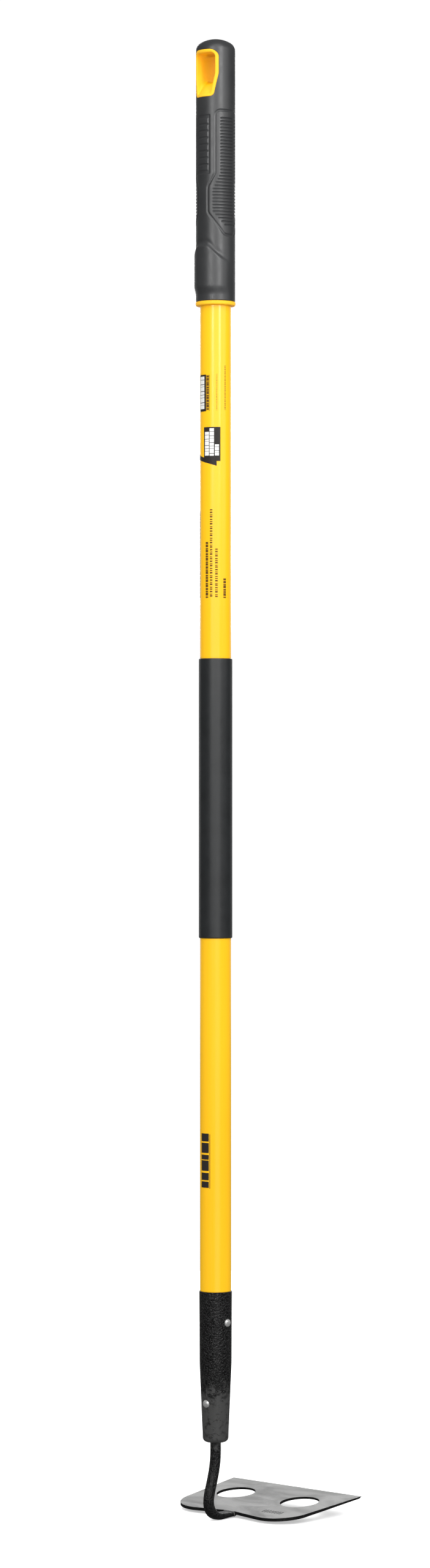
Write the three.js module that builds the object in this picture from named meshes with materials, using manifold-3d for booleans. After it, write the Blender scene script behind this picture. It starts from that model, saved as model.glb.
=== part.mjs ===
// A long-handled hoe with a two-hole blade, as an assembly of its separate pieces.
// Millimetres. The origin is the middle of the hang slot's ceiling, where a hook bears.
// +Z runs up the handle, +X is the way the blade points, and Y = 0 is the mirror plane.

import * as THREE from 'three';
import { mergeVertices } from 'three/addons/utils/BufferGeometryUtils.js';
import Module from 'manifold-3d';

const wasm = await Module();
wasm.setup();

// ---- driving dimensions --------------------------------------------------------------

const CLEARANCE = 0.3;
const OVERSHOOT = 1;
const SIDES = 48;
const SMALL_SIDES = 24;
const ARC_STEPS = 5;
const DEGREE = Math.PI / 180;

const GRIP = { radius: 20.25, top: 15.9, bottom: -255.2, skin: 1.75, crown: 3, corner: 9 };
const FLANGE = { radius: 20.55, thickness: 4, corner: 1.6 };
const SWELL = { shift: 2.4, top: -195.5, flat: 7, slope: 1.28, full: -238, bottom: -250.5 };

// Outlines seen along X: the liner, the mouth at each end of the slot, and the slot.
const LINER = { half: 15.6, top: 3.2, shoulder: -22, foot: 11.6, bottom: -45.5, round: 8 };
const MOUTH = { half: 13.8, top: 2.2, shoulder: -22, foot: 9.8, bottom: -44, round: 6.5 };
const SLOT = { half: 11.2, top: 0, shoulder: -20, foot: 7.5, bottom: -44, round: 5 };
const WAIST_ROUND = 3;
const FOOT_ROUND = 4;
const MOUTH_DEPTH = 12.2;
const FLOOR = { half: 6, height: -30.5 };

const SHAFT = { radius: 16, turned: 15.6, bore: 12.5, top: -66, bottom: -1346 };
const SLEEVE = { radius: 17.35, top: -623.2, bottom: -911.5, chamfer: 0.4 };

const FERRULE = { top: -1275.8, mouth: 16.9, bore: 15.9, wall: 1.3, floor: 2.5 };
const CONE = { top: -1350, radius: 16.5, bottom: -1426.5, tip: 13.1, corner: 5 };
const PLUG_TOP = -1288;
const RIVET = { shank: 2.5, head: 4, crown: 2.2 };
const UPPER_RIVET_HEIGHT = -1307.6;
const LOWER_RIVET_HEIGHT = -1391;

const ROD_RADIUS = 5.6;
const TANG_TOP = -1330;
const SWAN = { start: -1441, back: -10.7, leave: 24, arrive: 12 };
const BEND = { radius: 16.2, height: -1492.6 };
const TONGUE = { half: 7.2, thickness: 5.6, corner: 4, length: 44 };
const NECK_ROWS = 44;

// The blade's own frame: forward from the handle's axis, sideways, and up from its top face.
const BLADE = { height: -1507.9, pitch: 6.2, notch: 21.8, edge: 128.7, edgeHalf: 89.1 };
const LOBE = { forward: 50, side: 48.4, radius: 34.4 };
const HOLE = { forward: 81.8, side: 44.2, radius: 20.4 };
const PLATE = { root: 3.4, rootEnd: 40, tip: 2, bevel: 3, lip: 0.5 };
const SEAM = { width: 0.9, toe: 4.5, rise: 0.4 };

// ---- materials -----------------------------------------------------------------------

const material = (color, roughness, metalness) =>
  new THREE.MeshStandardMaterial({ color, roughness, metalness });

const groundSteel = material(0xa9a9a8, 0.4, 0.9);
const blackPaint = material(0x222325, 0.5, 0.2);
const rivetSteel = material(0xc4c4c2, 0.25, 1);
const yellowGlassFibre = material(0xffd22e, 0.35, 0);
const yellowPlastic = material(0xffcf24, 0.4, 0);
const softGrip = material(0x4c4d50, 0.6, 0);
const softSleeve = material(0x45484b, 0.55, 0);
const hardwood = material(0xb98b56, 0.7, 0);

// ---- geometry helpers ----------------------------------------------------------------

// The closed solid that a geometry bounds.
function solid(geometry) {
  const bare = geometry.clone();
  bare.deleteAttribute('normal');
  bare.deleteAttribute('uv');
  const merged = mergeVertices(bare);
  const index = merged.index.array;
  const corners = [];
  for (let i = 0; i < index.length; i += 3) {
    const [a, b, c] = index.slice(i, i + 3);
    if (a !== b && b !== c && c !== a) corners.push(a, b, c);
  }
  return new wasm.Manifold(new wasm.Mesh({
    numProp: 3,
    vertProperties: new Float32Array(merged.attributes.position.array),
    triVerts: new Uint32Array(corners),
  }));
}

function geometryOf(body) {
  const { vertProperties, triVerts } = body.getMesh();
  const geometry = new THREE.BufferGeometry();
  geometry.setAttribute('position', new THREE.BufferAttribute(vertProperties, 3));
  geometry.setIndex(new THREE.BufferAttribute(triVerts, 1));
  geometry.computeVertexNormals();
  return geometry;
}

// A profile of [radius, z] points, up the outside and down the inside, turned about Z.
function turned(profile, sides = SIDES) {
  const points = profile.map(([radius, z]) => new THREE.Vector2(radius, z));
  return new THREE.LatheGeometry(points, sides).rotateX(Math.PI / 2);
}

// Points along an arc, from one angle to another in degrees.
function arc(x, y, radius, from, to) {
  const points = [];
  for (let i = 0; i <= ARC_STEPS; i += 1) {
    const angle = (from + ((to - from) * i) / ARC_STEPS) * DEGREE;
    points.push([x + radius * Math.cos(angle), y + radius * Math.sin(angle)]);
  }
  return points;
}

const polygon = (points) => new THREE.Shape(points.map(([x, y]) => new THREE.Vector2(x, y)));

// A polygon of [x, y, cut] corners, each rounded from the distance cut before and after it.
function roundedPolygon(corners) {
  const shape = new THREE.Shape();
  corners.forEach(([x, y, cut], i) => {
    const corner = new THREE.Vector2(x, y);
    const neighbours = [corners.at(i - 1), corners[(i + 1) % corners.length]];
    const [start, end] = neighbours.map(([nx, ny]) =>
      new THREE.Vector2(nx, ny).sub(corner).setLength(cut).add(corner));
    if (i === 0) shape.moveTo(start.x, start.y);
    else shape.lineTo(start.x, start.y);
    shape.quadraticCurveTo(x, y, end.x, end.y);
  });
  shape.closePath();
  return shape;
}

// An outline in Y and Z, extruded along X.
function alongX(shape, from, to) {
  const axes = new THREE.Matrix4().makeBasis(
    new THREE.Vector3(0, 1, 0),
    new THREE.Vector3(0, 0, 1),
    new THREE.Vector3(1, 0, 0),
  );
  const options = { depth: to - from, bevelEnabled: false, curveSegments: ARC_STEPS };
  return new THREE.ExtrudeGeometry(shape, options).applyMatrix4(axes).translate(from, 0, 0);
}

// An outline in X and Z, extruded along Y to both sides of the mirror plane.
function alongY(shape, half) {
  return new THREE.ExtrudeGeometry(shape, { depth: 2 * half, bevelEnabled: false })
    .rotateX(Math.PI / 2)
    .translate(0, half, 0);
}

// The angle, about a circle's centre, at which a tangent from the point touches the circle.
function tangentAngle(point, centre, radius, side) {
  const way = point.clone().sub(centre);
  return way.angle() + side * Math.acos(radius / way.length());
}

// ---- grip ----------------------------------------------------------------------------

// The grip's domed top, moved in from its surface, from the wall up to the axis.
function dome(inset) {
  const flat = GRIP.radius - GRIP.corner;
  const base = GRIP.top - GRIP.crown - GRIP.corner;
  const reach = (flat ** 2 + GRIP.crown ** 2) / (2 * GRIP.crown);
  const corner = GRIP.corner - inset;
  const meet = Math.acos(flat / reach) / DEGREE;
  const crownCentre = GRIP.top - inset - (corner + reach);
  return [
    ...arc(flat, base, corner, 0, meet),
    ...arc(0, crownCentre, corner + reach, meet, 90).slice(1, -1),
    [0, GRIP.top - inset],
  ];
}

// An outline round the hang slot, whose straight sides draw in below the shoulder.
function slotOutline({ half, top, shoulder, foot, bottom, round }, grow = 0) {
  return roundedPolygon([
    [half + grow, top + grow, round],
    [-half - grow, top + grow, round],
    [-half - grow, shoulder, WAIST_ROUND],
    [-foot - grow, bottom - grow, FOOT_ROUND],
    [foot + grow, bottom - grow, FOOT_ROUND],
    [half + grow, shoulder, WAIST_ROUND],
  ]);
}

// The hollow for a hook: the slot and its wider mouths, over a floor that slopes out each way.
function slotHollow() {
  const reach = GRIP.radius + OVERSHOOT;
  const aboveFloor = polygon([
    [-FLOOR.half, FLOOR.height],
    [FLOOR.half, FLOOR.height],
    [GRIP.radius, MOUTH.bottom],
    [reach, MOUTH.bottom],
    [reach, reach],
    [-reach, reach],
    [-reach, MOUTH.bottom],
    [-GRIP.radius, MOUTH.bottom],
  ]);
  return solid(alongX(slotOutline(SLOT), -reach, reach))
    .add(solid(alongX(slotOutline(MOUTH), MOUTH_DEPTH, reach)))
    .add(solid(alongX(slotOutline(MOUTH), -reach, -MOUTH_DEPTH)))
    .intersect(solid(alongY(aboveFloor, GRIP.radius)));
}

// The rigid core: a closed socket over the shaft, the hang slot's liner and the end flange.
function gripCore() {
  const inset = GRIP.skin + CLEARANCE;
  const bore = SHAFT.radius + CLEARANCE;
  const flangeTop = GRIP.bottom - CLEARANCE;
  const flangeBottom = flangeTop - FLANGE.thickness;
  const { radius, corner } = FLANGE;
  const socket = turned([
    [0, SHAFT.top + CLEARANCE],
    [bore, SHAFT.top + CLEARANCE],
    [bore, flangeBottom],
    ...arc(radius - corner, flangeBottom + corner, corner, 270, 360),
    [radius, flangeTop],
    [GRIP.radius - inset, flangeTop],
    ...dome(inset),
  ]);
  const barrel = turned([
    [0, GRIP.bottom],
    [GRIP.radius, GRIP.bottom],
    [GRIP.radius, GRIP.top],
    [0, GRIP.top],
  ]);
  const liner = solid(barrel).intersect(solid(alongX(slotOutline(LINER), -GRIP.radius, GRIP.radius)));
  return solid(socket).add(liner).subtract(slotHollow());
}

// The thumb swell on the back of the grip, under an arched top edge.
function thumbSwell() {
  const { shift, top, flat, slope, full, bottom } = SWELL;
  const side = GRIP.radius + shift;
  const drum = turned([
    [0, bottom],
    [GRIP.radius - shift - CLEARANCE, bottom],
    [GRIP.radius, full],
    [GRIP.radius, top],
    [0, top],
  ]).translate(-shift, 0, 0);
  const arch = polygon([
    [-side, bottom],
    [side, bottom],
    [side, top - slope * (side - flat)],
    [flat, top],
    [-flat, top],
    [-side, top - slope * (side - flat)],
  ]);
  return solid(drum).intersect(solid(alongX(arch, -side, side)));
}

// The soft skin over the core, open at the bottom and at both ends of the hang slot.
function gripOvermould() {
  const outside = turned([[0, GRIP.bottom], [GRIP.radius, GRIP.bottom], ...dome(0)]);
  const below = GRIP.bottom - GRIP.skin;
  const inside = turned([[0, below], [GRIP.radius - GRIP.skin, below], ...dome(GRIP.skin)]);
  const reach = GRIP.radius + SWELL.shift;
  const opening = alongX(slotOutline(LINER, CLEARANCE), -reach, reach);
  return solid(outside).add(thumbSwell()).subtract(solid(inside)).subtract(solid(opening));
}

// ---- shaft ---------------------------------------------------------------------------

// The hollow shaft, turned down where it enters the ferrule.
function shaftTube() {
  const shoulder = FERRULE.top + CLEARANCE;
  const tube = turned([
    [SHAFT.bore, SHAFT.bottom],
    [SHAFT.turned, SHAFT.bottom],
    [SHAFT.turned, shoulder],
    [SHAFT.radius, shoulder],
    [SHAFT.radius, SHAFT.top],
    [SHAFT.bore, SHAFT.top],
    [SHAFT.bore, SHAFT.bottom],
  ]);
  return solid(tube).subtract(rivetHole(alongYAxis, UPPER_RIVET_HEIGHT));
}

function midSleeve() {
  const { radius, top, bottom, chamfer } = SLEEVE;
  const bore = SHAFT.radius + CLEARANCE;
  return solid(turned([
    [bore, bottom],
    [radius - chamfer, bottom],
    [radius, bottom + chamfer],
    [radius, top - chamfer],
    [radius - chamfer, top],
    [bore, top],
    [bore, bottom],
  ]));
}

// ---- ferrule, plug and rivets --------------------------------------------------------

// The outside of the ferrule from its rounded tip up to its mouth, grown by a clearance.
function ferruleOutside(grow = 0) {
  return [
    ...arc(CONE.tip - CONE.corner, CONE.bottom, CONE.corner + grow, 270, 360),
    [CONE.radius + grow, CONE.top],
    [FERRULE.mouth + grow, FERRULE.top],
  ];
}

// The steel socket that holds the shaft above and the tang below.
function ferrule() {
  const hole = ROD_RADIUS + CLEARANCE;
  const bottom = CONE.bottom - CONE.corner;
  const seat = SHAFT.bottom - CLEARANCE;
  const shell = turned([
    [hole, bottom],
    ...ferruleOutside(),
    [FERRULE.bore, FERRULE.top],
    [FERRULE.bore, seat],
    [CONE.radius - FERRULE.wall, CONE.top],
    [CONE.tip - FERRULE.wall, CONE.bottom],
    [hole + FERRULE.wall, bottom + FERRULE.floor],
    [hole, bottom + FERRULE.floor],
    [hole, bottom],
  ]);
  return solid(shell)
    .subtract(rivetHole(alongYAxis, UPPER_RIVET_HEIGHT))
    .subtract(rivetHole(alongXAxis, LOWER_RIVET_HEIGHT));
}

// The wooden plug that fills the shaft's end and the ferrule's cone, bored for the tang.
function tangPlug() {
  const hole = ROD_RADIUS + CLEARANCE;
  const boreTop = TANG_TOP + CLEARANCE;
  const bottom = CONE.bottom - CONE.corner + FERRULE.floor + CLEARANCE;
  const shoulder = SHAFT.bottom - 2 * CLEARANCE;
  const wall = FERRULE.wall + CLEARANCE;
  const block = turned([
    [0, boreTop],
    [hole, boreTop],
    [hole, bottom],
    [hole + FERRULE.wall - CLEARANCE, bottom],
    [CONE.tip - wall, CONE.bottom + CLEARANCE],
    [CONE.radius - wall, CONE.top],
    [FERRULE.bore - CLEARANCE, shoulder],
    [SHAFT.bore - CLEARANCE, shoulder],
    [SHAFT.bore - CLEARANCE, PLUG_TOP],
    [0, PLUG_TOP],
  ]);
  return solid(block)
    .subtract(rivetHole(alongYAxis, UPPER_RIVET_HEIGHT))
    .subtract(rivetHole(alongXAxis, LOWER_RIVET_HEIGHT));
}

// The two ways a rivet lies across the handle.
const alongXAxis = (geometry, height) => geometry.rotateY(Math.PI / 2).translate(0, 0, height);
const alongYAxis = (geometry, height) => geometry.rotateX(Math.PI / 2).translate(0, 0, height);

function rivetHole(lay, height) {
  const radius = RIVET.shank + CLEARANCE;
  const reach = GRIP.radius;
  const drill = turned([[0, -reach], [radius, -reach], [radius, reach], [0, reach]], SMALL_SIDES);
  return solid(lay(drill, height));
}

// A rivet across the handle, whose two domed heads sit on the ferrule.
function rivet(lay, height) {
  const { shank, head, crown } = RIVET;
  const seat = ferruleRadius(height);
  const inner = seat - crown;
  const reach = seat + crown / 2;
  const dome = arc(0, 0, 1, 0, 90).slice(0, -1).map(([x, y]) => [head * x, seat + crown * y]);
  const cap = turned([[0, inner], [head, inner], ...dome, [0, seat + crown]], SMALL_SIDES);
  const rod = turned([[0, -reach], [shank, -reach], [shank, reach], [0, reach]], SMALL_SIDES);
  const ferruleRoom = solid(turned([
    [0, CONE.bottom - CONE.corner],
    ...ferruleOutside(CLEARANCE),
    [0, FERRULE.top],
  ]));
  return solid(lay(cap.clone(), height))
    .add(solid(lay(cap.rotateX(Math.PI), height)))
    .subtract(ferruleRoom)
    .add(solid(lay(rod, height)));
}

// The ferrule's outer radius at a height.
function ferruleRadius(height) {
  const straight = height > CONE.top;
  const [low, high] = straight ? [CONE.top, FERRULE.top] : [CONE.bottom, CONE.top];
  const [narrow, wide] = straight ? [CONE.radius, FERRULE.mouth] : [CONE.tip, CONE.radius];
  return THREE.MathUtils.mapLinear(height, low, high, narrow, wide);
}

// ---- head ----------------------------------------------------------------------------

// A point of the blade's mirror plane, forward and up in the blade's frame, as X and Z.
function onBlade(forward, up) {
  const turn = BLADE.pitch * DEGREE;
  return new THREE.Vector2(forward, up).rotateAround(new THREE.Vector2(), turn)
    .add(new THREE.Vector2(0, BLADE.height));
}

// The neck's centreline in X and Z: the straight tang, a lean back, the bend and the tongue.
function neckLine() {
  const end = onBlade(BLADE.notch - SEAM.width - 2 * CLEARANCE, -TONGUE.thickness / 2);
  const centre = new THREE.Vector2(SWAN.back + BEND.radius, BEND.height);
  const line = new THREE.Path();
  line.moveTo(0, TANG_TOP);
  line.lineTo(0, SWAN.start);
  line.bezierCurveTo(
    0, SWAN.start - SWAN.leave,
    SWAN.back, BEND.height + SWAN.arrive,
    SWAN.back, BEND.height,
  );
  line.absarc(centre.x, centre.y, BEND.radius, Math.PI, tangentAngle(end, centre, BEND.radius, -1), false);
  line.lineTo(end.x, end.y);
  return line;
}

// The neck: a round rod that flattens, from the middle of the bend, into the blade's tongue.
function gooseneck() {
  const line = neckLine();
  const length = line.getLength();
  const straight = TANG_TOP - SWAN.start;
  const rod = new THREE.CylinderGeometry(1, 1, 1, SMALL_SIDES, NECK_ROWS);
  const position = rod.getAttribute('position');
  for (let i = 0; i < position.count; i += 1) {
    const row = Math.round((0.5 - position.getY(i)) * NECK_ROWS);
    const along = row === 0 ? 0 : straight + ((length - straight) * (row - 1)) / (NECK_ROWS - 1);
    const { x, y: z } = line.getPointAt(along / length);
    const way = line.getTangentAt(along / length);
    const flat = THREE.MathUtils.smoothstep(along, length - TONGUE.length, length);
    const half = THREE.MathUtils.lerp(ROD_RADIUS, TONGUE.half, flat);
    const depth = THREE.MathUtils.lerp(ROD_RADIUS, TONGUE.thickness / 2, flat);
    const power = 2 / THREE.MathUtils.lerp(2, TONGUE.corner, flat);
    const [side, up] = [position.getX(i), position.getZ(i)].map((v) => Math.sign(v) * Math.abs(v) ** power);
    position.setXYZ(i, x - way.y * depth * up, half * side, z + way.x * depth * up);
  }
  return solid(rod).subtract(rivetHole(alongXAxis, LOWER_RIVET_HEIGHT));
}

// The blade seen from above: a notch for the tongue, two round lobes and a straight edge.
function bladeOutline() {
  const { forward, side, radius } = LOBE;
  const lobe = new THREE.Vector2(forward, side);
  const inner = tangentAngle(new THREE.Vector2(BLADE.notch, TONGUE.half), lobe, radius, -1);
  const outer = tangentAngle(new THREE.Vector2(BLADE.edge, BLADE.edgeHalf), lobe, radius, 1);
  const outline = new THREE.Shape();
  outline.moveTo(BLADE.edge, -BLADE.edgeHalf);
  outline.lineTo(BLADE.edge, BLADE.edgeHalf);
  outline.absarc(forward, side, radius, outer, inner, false);
  outline.lineTo(BLADE.notch, TONGUE.half);
  outline.lineTo(BLADE.notch, -TONGUE.half);
  outline.absarc(forward, -side, radius, -inner, -outer, false);
  outline.closePath();
  for (const way of [-1, 1]) {
    const hole = new THREE.Path();
    hole.absarc(HOLE.forward, way * HOLE.side, HOLE.radius, 0, 2 * Math.PI, false);
    outline.holes.push(hole);
  }
  return outline;
}

// The blade in its own frame: flat on top, thinner towards the edge, and ground below it.
function blade() {
  const { root, rootEnd, tip, bevel, lip } = PLATE;
  const options = { depth: root, bevelEnabled: false, curveSegments: SMALL_SIDES };
  const plate = new THREE.ExtrudeGeometry(bladeOutline(), options).translate(0, 0, -root);
  const beyond = BLADE.edge + OVERSHOOT;
  const taper = polygon([
    [0, OVERSHOOT],
    [0, -root - OVERSHOOT],
    [rootEnd, -root],
    [BLADE.edge - bevel, -tip],
    [BLADE.edge, -lip],
    [beyond, -lip],
    [beyond, OVERSHOOT],
  ]);
  return solid(plate).intersect(solid(alongY(taper, BLADE.edgeHalf + OVERSHOOT)));
}

// The weld along the blade's notch, with a toe under the plate, in the blade's frame.
function weldSeam() {
  const { width, toe, rise } = SEAM;
  const front = BLADE.notch - CLEARANCE;
  const under = -PLATE.root - CLEARANCE;
  const section = polygon([
    [front - width, 0],
    [front, 0],
    [front, under],
    [front + toe, under],
    [front + toe, under - rise],
    [front - width, -TONGUE.thickness],
  ]);
  return solid(alongY(section, TONGUE.half));
}

// ---- assembly ------------------------------------------------------------------------

function piece(name, geometry, look) {
  const mesh = new THREE.Mesh(geometry, look);
  mesh.name = name;
  return mesh;
}

const bladeFrame = new THREE.Group();
bladeFrame.position.z = BLADE.height;
bladeFrame.rotation.y = -BLADE.pitch * DEGREE;
bladeFrame.add(
  piece('blade', geometryOf(blade()), groundSteel),
  piece('weld_seam', geometryOf(weldSeam()), groundSteel),
);

const hoe = new THREE.Group();
hoe.add(
  piece('grip_overmould', geometryOf(gripOvermould()), softGrip),
  piece('grip_core', geometryOf(gripCore()), yellowPlastic),
  piece('shaft_tube', geometryOf(shaftTube()), yellowGlassFibre),
  piece('mid_sleeve', geometryOf(midSleeve()), softSleeve),
  piece('ferrule', geometryOf(ferrule()), blackPaint),
  piece('tang_plug', geometryOf(tangPlug()), hardwood),
  piece('upper_rivet', geometryOf(rivet(alongYAxis, UPPER_RIVET_HEIGHT)), rivetSteel),
  piece('lower_rivet', geometryOf(rivet(alongXAxis, LOWER_RIVET_HEIGHT)), rivetSteel),
  piece('gooseneck', geometryOf(gooseneck()), blackPaint),
  bladeFrame,
);

export default hoe;
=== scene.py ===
"""The looks of a long-handled hoe with a two-hole blade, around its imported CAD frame.

Shapes are worked out in millimetres in the frame of the CAD model, and every mesh is stored in
metres. The origin is the hang slot's ceiling, +Z runs up the handle, +X is the way the blade
points, and Y = 0 is the mirror plane of everything but the printed and stamped marks.
"""

import math

import bmesh
import bpy
import numpy as np
from mathutils import Euler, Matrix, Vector


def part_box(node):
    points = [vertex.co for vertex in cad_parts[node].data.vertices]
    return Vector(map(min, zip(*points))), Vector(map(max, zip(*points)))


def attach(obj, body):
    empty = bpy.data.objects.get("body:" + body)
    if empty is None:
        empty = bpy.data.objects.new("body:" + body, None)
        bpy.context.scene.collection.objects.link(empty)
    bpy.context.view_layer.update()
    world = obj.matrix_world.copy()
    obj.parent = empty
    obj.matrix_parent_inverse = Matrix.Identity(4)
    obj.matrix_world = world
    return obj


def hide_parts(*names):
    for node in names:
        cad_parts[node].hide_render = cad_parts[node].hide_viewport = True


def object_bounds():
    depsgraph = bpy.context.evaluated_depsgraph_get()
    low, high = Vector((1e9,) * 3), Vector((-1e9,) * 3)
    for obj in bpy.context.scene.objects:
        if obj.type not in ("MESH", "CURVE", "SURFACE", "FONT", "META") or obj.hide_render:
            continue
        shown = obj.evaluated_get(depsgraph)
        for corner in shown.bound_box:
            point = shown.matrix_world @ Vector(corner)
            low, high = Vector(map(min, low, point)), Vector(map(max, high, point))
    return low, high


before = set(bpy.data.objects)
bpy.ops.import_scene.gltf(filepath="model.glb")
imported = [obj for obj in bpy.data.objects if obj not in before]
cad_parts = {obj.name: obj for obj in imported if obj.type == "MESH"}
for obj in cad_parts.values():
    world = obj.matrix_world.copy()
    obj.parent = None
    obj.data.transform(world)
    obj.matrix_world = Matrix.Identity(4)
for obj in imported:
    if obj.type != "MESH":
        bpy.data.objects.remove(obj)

MM = 0.001
cad_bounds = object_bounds()

# Points nearer to each other than this, in millimetres, become one.
MERGE = 0.001


def cad_box(node):
    """The lowest and highest corner of a CAD node, in millimetres, to the nearest micrometre."""
    return [np.round(np.array(corner) / MM, 3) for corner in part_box(node)]


# ---- sizes --------------------------------------------------------------------------------

core_low, core_high = cad_box("grip_core")
skin_low, skin_high = cad_box("grip_overmould")
shaft_low, shaft_high = cad_box("shaft_tube")
sleeve_low, sleeve_high = cad_box("mid_sleeve")
ferrule_low, ferrule_high = cad_box("ferrule")
neck_high = cad_box("gooseneck")[1]
blade_high = cad_box("blade")[1]

# The usual gap between two pieces that fit together.
GAP = 0.1

GRIP_RADIUS = skin_high[0]
GRIP_TOP = skin_high[2]
GRIP_BOTTOM = skin_low[2]
SKIN = 1.75
CROWN = 3.0
CROWN_CORNER = 9.0

SHAFT_RADIUS = shaft_high[0]
SHAFT_BORE = 12.5
SHAFT_STEP = 0.4
FERRULE_TOP = ferrule_high[2]
FERRULE_BOTTOM = ferrule_low[2]

# The hang slot, seen along X: the liner's outer edge, and the slot in the middle of the grip.
LINER = {"half": 15.6, "top": 3.2, "shoulder": -22.0, "foot": 11.6, "bottom": -45.5, "corner": 8.0}
SLOT = {"half": 11.2, "top": 0.0, "shoulder": -18.0, "foot": 9.4, "bottom": -28.0, "corner": 5.0}
SHOULDER_ROUND = 24.0
FOOT_ROUND = 4.5

# The skin's edge round the slot: its lap over the liner, then (turned in, below the surface).
SKIN_LAP = 0.25
SKIN_EDGE = [(0, 0), (0.12, 0.25), (0.16, SKIN)]

# The liner's rim, as (in from its outer edge, below the surface), and the funnel behind it.
LINER_RIM = [
    (0, 1.4),
    (0, 0.5),
    (0.1, 0.22),
    (0.35, 0.04),
    (0.8, 0),
    (1.5, 0.05),
    (2.2, 0.22),
    (2.8, 0.6),
    (3.2, 1.2),
    (3.4, 2),
]
FUNNEL = {"steps": 18, "curve": 2.2}

# A side panel of the grip, as (distance round the grip from its middle, height, corner radius).
PANEL_BORDER = [
    (0.0, -59.9, 0.0),
    (17.3, -59.9, 5.5),
    (17.3, -124.6, 9.0),
    (25.4, -138.4, 9.0),
    (25.4, -164.8, 7.0),
    (7.0, -187.8, 6.0),
    (0.0, -187.8, 0.0),
]
BORDER_GROOVE = {"width": 2.6, "depth": 0.6}
RIB_GROOVE = {"width": 2.3, "depth": 0.65}
RIB_TOP = -68.0
RIB_PITCH = 3.32
RIB_COUNT = 34

# How far round the grip a rib reaches from the panel's middle, at these heights.
RIB_END_HEIGHTS = [-180.0, -177.8, -164.9, -141.6, -124.8, -60.0]
RIB_ENDS = [5.0, 7.4, 20.7, 20.7, 12.2, 12.2]

# The plain badge in the grip's back, with a row of raised blocks. A block's wall starts a foot
# outside its edge and ends a brow inside it.
RECESS = {"half": 9.2, "top": -64.0, "bottom": -125.5, "depth": 0.5, "edge": 1.0}
BLOCK = {"count": 8, "pitch": 6.9, "length": 4.9, "half": 6.6, "first": -70.6, "height": 0.45}
BLOCK_WALL = {"foot": 0.5, "brow": 0.3}

# The thumb swell low on the grip's back. Its upper edge is flat in the middle and falls to the
# sides, with a shallow valley above it, and the swell fades out above the grip's lower lip.
SWELL = {"shift": 2.4, "top": -195.5, "flat": 7.0, "bend": 2.0, "slope": 1.28, "ramp": 4.5}
SWELL_FADE = {"start": -239.5, "end": -249.5}
SWELL_VALLEY = {"depth": 0.45, "above": 1.6, "reach": 2.4}

# ---- points and outlines ------------------------------------------------------------------


def unit(vector):
    return vector / np.linalg.norm(vector)


def all_round(count):
    """Evenly spaced angles, once round."""
    return np.arange(count) * 2 * np.pi / count


def arc(centre, radius, angles):
    """The points of a circle at the given angles."""
    return np.array(centre) + radius * np.column_stack([np.cos(angles), np.sin(angles)])


def tangent_angle(point, centre, radius, side):
    """The angle about a circle's centre at which a tangent from the point touches it."""
    way = np.array(point) - np.array(centre)
    return math.atan2(way[1], way[0]) + side * math.acos(radius / np.linalg.norm(way))


def rounded(corners, closed=False, steps=6):
    """A polyline through (x, y, radius) corners, each replaced by an arc of its radius."""
    points = []
    count = len(corners)
    for i, (x, y, radius) in enumerate(corners):
        corner = np.array((x, y), float)
        if radius == 0 or (not closed and i in (0, count - 1)):
            points.append(corner)
            continue
        before = unit(np.array(corners[i - 1][:2]) - corner)
        after = unit(np.array(corners[(i + 1) % count][:2]) - corner)
        half_angle = math.acos(np.clip(before @ after, -1, 1)) / 2
        centre = corner + unit(before + after) * radius / math.sin(half_angle)
        reach = radius / math.tan(half_angle)
        first = corner + before * reach - centre
        last = corner + after * reach - centre
        start = math.atan2(first[1], first[0])
        sweep = math.remainder(math.atan2(last[1], last[0]) - start, 2 * math.pi)
        points.extend(arc(centre, radius, start + sweep * np.arange(steps + 1) / steps))
    return np.array(points)


def resampled(line, count, closed=False):
    """The line as evenly spaced points: count of them, or count plus an end if it is open."""
    if closed:
        line = np.vstack([line, line[:1]])
    lengths = np.r_[0, np.cumsum(np.linalg.norm(np.diff(line, axis=0), axis=1))]
    stations = np.linspace(0, lengths[-1], count + 1)[: count if closed else count + 1]
    return np.column_stack([np.interp(stations, lengths, column) for column in line.T])


def nearest(points, line):
    """The distance from each point to the line, and the nearest point on it."""
    best = np.full(len(points), np.inf)
    found = np.zeros_like(points)
    for start, end in zip(line[:-1], line[1:]):
        way = end - start
        length = way @ way
        if length == 0:
            continue
        share = np.clip((points - start) @ way / length, 0, 1)
        foot = start + share[:, None] * way
        distance = np.linalg.norm(points - foot, axis=1)
        closer = distance < best
        best[closer] = distance[closer]
        found[closer] = foot[closer]
    return best, found


def smooth_step(start, end, value):
    """0 before start, 1 after end, and an easy slope between, whichever way they lie."""
    share = np.clip((value - start) / (end - start), 0, 1)
    return share * share * (3 - 2 * share)


def groove(distance, width, depth):
    """The relief of a round-bottomed groove, at a distance from its middle line."""
    return -depth * np.cos(np.clip(distance / width, -0.5, 0.5) * np.pi) ** 2


def channel(distance, width, depth):
    """The relief of a groove with a flat bottom and steep walls."""
    return -depth * (1 - np.clip(2 * distance / width, 0, 1) ** 3)


def spaced(stops):
    """Heights from each (height, spacing) stop to the next, with about that spacing."""
    runs = []
    for (start, spacing), (end, _) in zip(stops[:-1], stops[1:]):
        count = max(1, round(abs(end - start) / spacing))
        runs.append(np.linspace(start, end, count, endpoint=False))
    return np.concatenate(runs)


# ---- meshes -------------------------------------------------------------------------------


def grid_faces(rows, columns, closed_rows=False, closed_columns=True):
    """The quads of a grid of points stored row by row."""
    faces = []
    for i in range(rows if closed_rows else rows - 1):
        below, above = i * columns, (i + 1) % rows * columns
        for j in range(columns if closed_columns else columns - 1):
            k = (j + 1) % columns
            faces.append((below + j, below + k, above + k, above + j))
    return faces


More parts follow.
